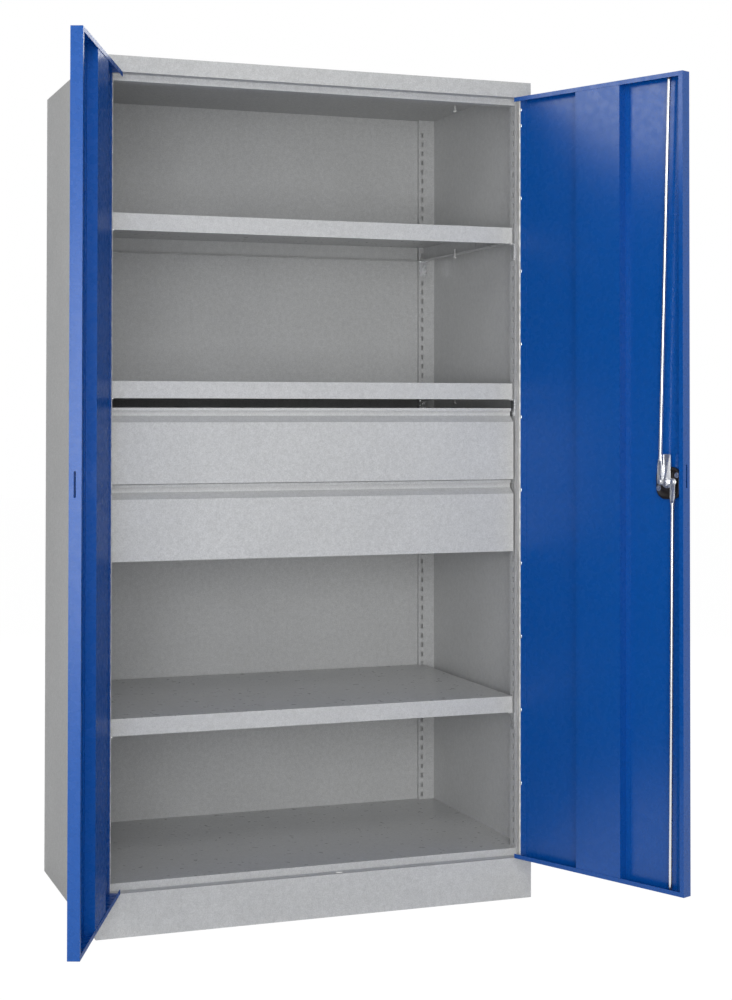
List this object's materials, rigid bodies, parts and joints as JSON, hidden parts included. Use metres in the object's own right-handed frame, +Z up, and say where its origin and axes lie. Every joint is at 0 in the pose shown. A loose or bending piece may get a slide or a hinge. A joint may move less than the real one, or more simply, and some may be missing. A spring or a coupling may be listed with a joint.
{
  "type": "storage cabinet",
  "caption": "Tall steel storage cabinet with two hinged doors, a three-point turning-grip lock, shelves on slotted posts and full-width drawers on telescopic slides.",
  "frame": {"origin": "on the floor, in the middle of the front foot flange, half way across the width", "axes": "+Z up along the height, +X to the right across the width, +Y from the front to the back"},
  "size_m": [1.3874, 1.1105, 1.95],
  "materials": {
    "body_paint": "satin powder coat",
    "shelf_paint": "satin powder coat",
    "drawer_paint": "satin powder coat",
    "door_paint": "semi-gloss powder coat",
    "zinc_plate": "bright zinc",
    "lock_plastic": "moulded black"
  },
  "bodies": {
    "cabinet": {"left_side_panel": "body_paint", "right_side_panel": "body_paint", "back_panel": "body_paint", "top_cover": "body_paint", "top_rail": "body_paint", "floor_shelf": "body_paint", "plinth_front": "body_paint", "plinth_rear": "body_paint", "left_front_post": "body_paint", "right_front_post": "body_paint", "left_rear_post": "body_paint", "right_rear_post": "body_paint", "left_hinge_frame_leaf": "body_paint", "right_hinge_frame_leaf": "body_paint", "top_shelf": "shelf_paint", "middle_shelf": "shelf_paint", "lower_shelf": "shelf_paint", "top_shelf_hooks": "zinc_plate", "middle_shelf_hooks": "zinc_plate", "lower_shelf_hooks": "zinc_plate", "locking_screws": "zinc_plate", "drawer_1_cabinet_rails": "zinc_plate", "drawer_1_rail_brackets": "zinc_plate", "drawer_2_cabinet_rails": "zinc_plate", "drawer_2_rail_brackets": "zinc_plate", "left_hinge_pin": "zinc_plate", "right_hinge_pin": "zinc_plate"},
    "left_door": {"left_door_pan": "door_paint", "left_door_stiffener": "door_paint", "left_hinge_door_leaf": "door_paint"},
    "right_door": {"right_door_pan": "door_paint", "right_door_stiffener": "door_paint", "right_hinge_door_leaf": "door_paint", "lock_housing": "lock_plastic", "lock_housing_screws": "zinc_plate", "lock_escutcheon": "lock_plastic"},
    "lock_handle": {"turning_grip": "lock_plastic", "lock_spindle": "zinc_plate", "lock_cam": "zinc_plate", "spindle_nut": "zinc_plate", "rod_pivot_pins": "zinc_plate"},
    "lock_cylinder": {"key_cylinder": "zinc_plate"},
    "upper_lock_rod": {"upper_rod": "zinc_plate"},
    "lower_lock_rod": {"lower_rod": "zinc_plate"},
    "drawer_1": {"drawer_1_front": "drawer_paint", "drawer_1_tray": "drawer_paint", "drawer_1_drawer_rails": "zinc_plate"},
    "drawer_1_slides": {"drawer_1_middle_rails": "zinc_plate"},
    "drawer_2": {"drawer_2_front": "drawer_paint", "drawer_2_tray": "drawer_paint", "drawer_2_drawer_rails": "zinc_plate"},
    "drawer_2_slides": {"drawer_2_middle_rails": "zinc_plate"}
  },
  "joints": [
    {"name": "left_door_hinge", "type": "hinge", "parent": "cabinet", "child": "left_door", "pos_m": [-0.496, -0.016, 0], "axis": [0, 0, -1], "range_deg": [-111.4, 3.6]},
    {"name": "right_door_hinge", "type": "hinge", "parent": "cabinet", "child": "right_door", "pos_m": [0.496, -0.016, 0], "axis": [0, 0, 1], "range_deg": [-113.9, 1.1]},
    {"name": "handle_turn", "type": "hinge", "parent": "right_door", "child": "lock_handle", "pos_m": [0.66116, -0.42572, 1.00525], "axis": [-0.9143, -0.4051, 0], "range_deg": [-90, 0]},
    {"name": "key_turn", "type": "hinge", "parent": "lock_handle", "child": "lock_cylinder", "pos_m": [0.7023, -0.40749, 1.00525], "axis": [-0.9143, -0.4051, 0], "range_deg": [0, 90]},
    {"name": "upper_rod_pivot", "type": "hinge", "parent": "lock_handle", "child": "upper_lock_rod", "pos_m": [0.65407, -0.40972, 1.00525], "axis": [-0.9143, -0.4051, 0], "range_deg": [0, 91.2]},
    {"name": "lower_rod_pivot", "type": "hinge", "parent": "lock_handle", "child": "lower_lock_rod", "pos_m": [0.66825, -0.44172, 1.00525], "axis": [-0.9143, -0.4051, 0], "range_deg": [0, 91.2]},
    {"name": "drawer_1_slide", "type": "slide", "parent": "cabinet", "child": "drawer_1", "axis": [0, -1, 0], "range_m": [0, 0.5]},
    {"name": "drawer_1_middle_slide", "type": "slide", "parent": "cabinet", "child": "drawer_1_slides", "axis": [0, -1, 0], "range_m": [0, 0.25]},
    {"name": "drawer_2_slide", "type": "slide", "parent": "cabinet", "child": "drawer_2", "axis": [0, -1, 0], "range_m": [0, 0.5]},
    {"name": "drawer_2_middle_slide", "type": "slide", "parent": "cabinet", "child": "drawer_2_slides", "axis": [0, -1, 0], "range_m": [0, 0.25]}
  ],
  "couplings": [
    {"joint": "upper_rod_pivot", "follows": "handle_turn", "ratio": -1.0122},
    {"joint": "lower_rod_pivot", "follows": "handle_turn", "ratio": -1.0124},
    {"joint": "drawer_1_middle_slide", "follows": "drawer_1_slide", "ratio": 0.5},
    {"joint": "drawer_2_middle_slide", "follows": "drawer_2_slide", "ratio": 0.5}
  ]
}
